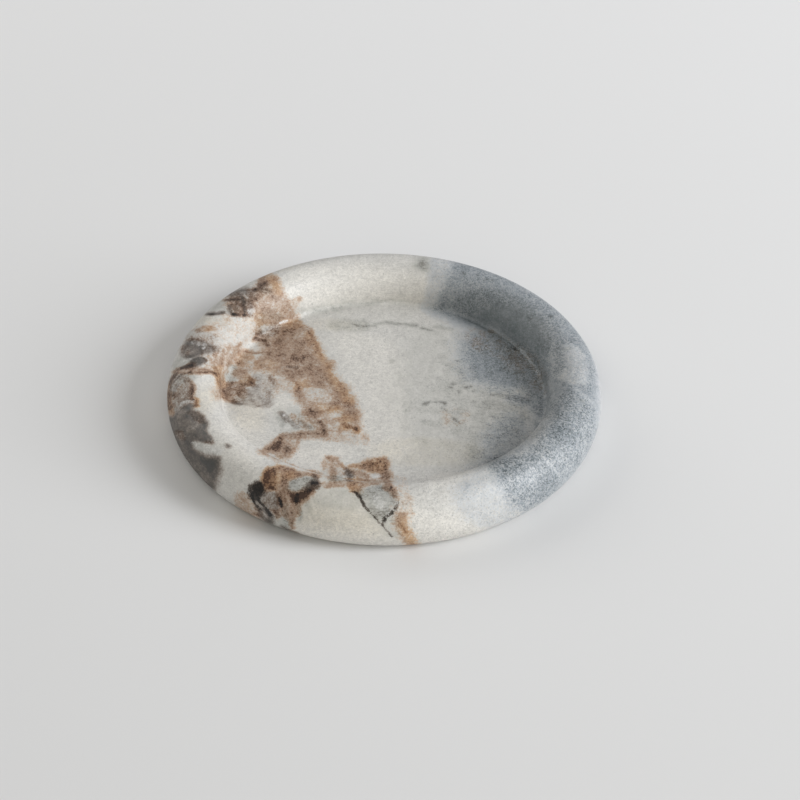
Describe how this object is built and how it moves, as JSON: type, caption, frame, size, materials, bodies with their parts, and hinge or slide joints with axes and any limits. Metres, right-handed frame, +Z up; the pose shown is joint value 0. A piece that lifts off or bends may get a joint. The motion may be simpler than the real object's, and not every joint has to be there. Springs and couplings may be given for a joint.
{
  "type": "stone tray",
  "caption": "Round shallow tray turned from one block of mottled marble, with a fat rounded rim and a flat basin, standing on small clear pads.",
  "frame": {"origin": "on the surface that the tray stands on, under the middle of the tray", "axes": "+Z up along the tray's turning axis. -Y is the side that faces the viewer in the picture"},
  "size_m": [0.15, 0.15, 0.0201],
  "materials": {
    "marble": "honed",
    "clear_silicone": "satin"
  },
  "bodies": {
    "root": {"stone_tray": "marble", "foot_pad_1": "clear_silicone", "foot_pad_2": "clear_silicone", "foot_pad_3": "clear_silicone", "foot_pad_4": "clear_silicone"}
  },
  "joints": []
}
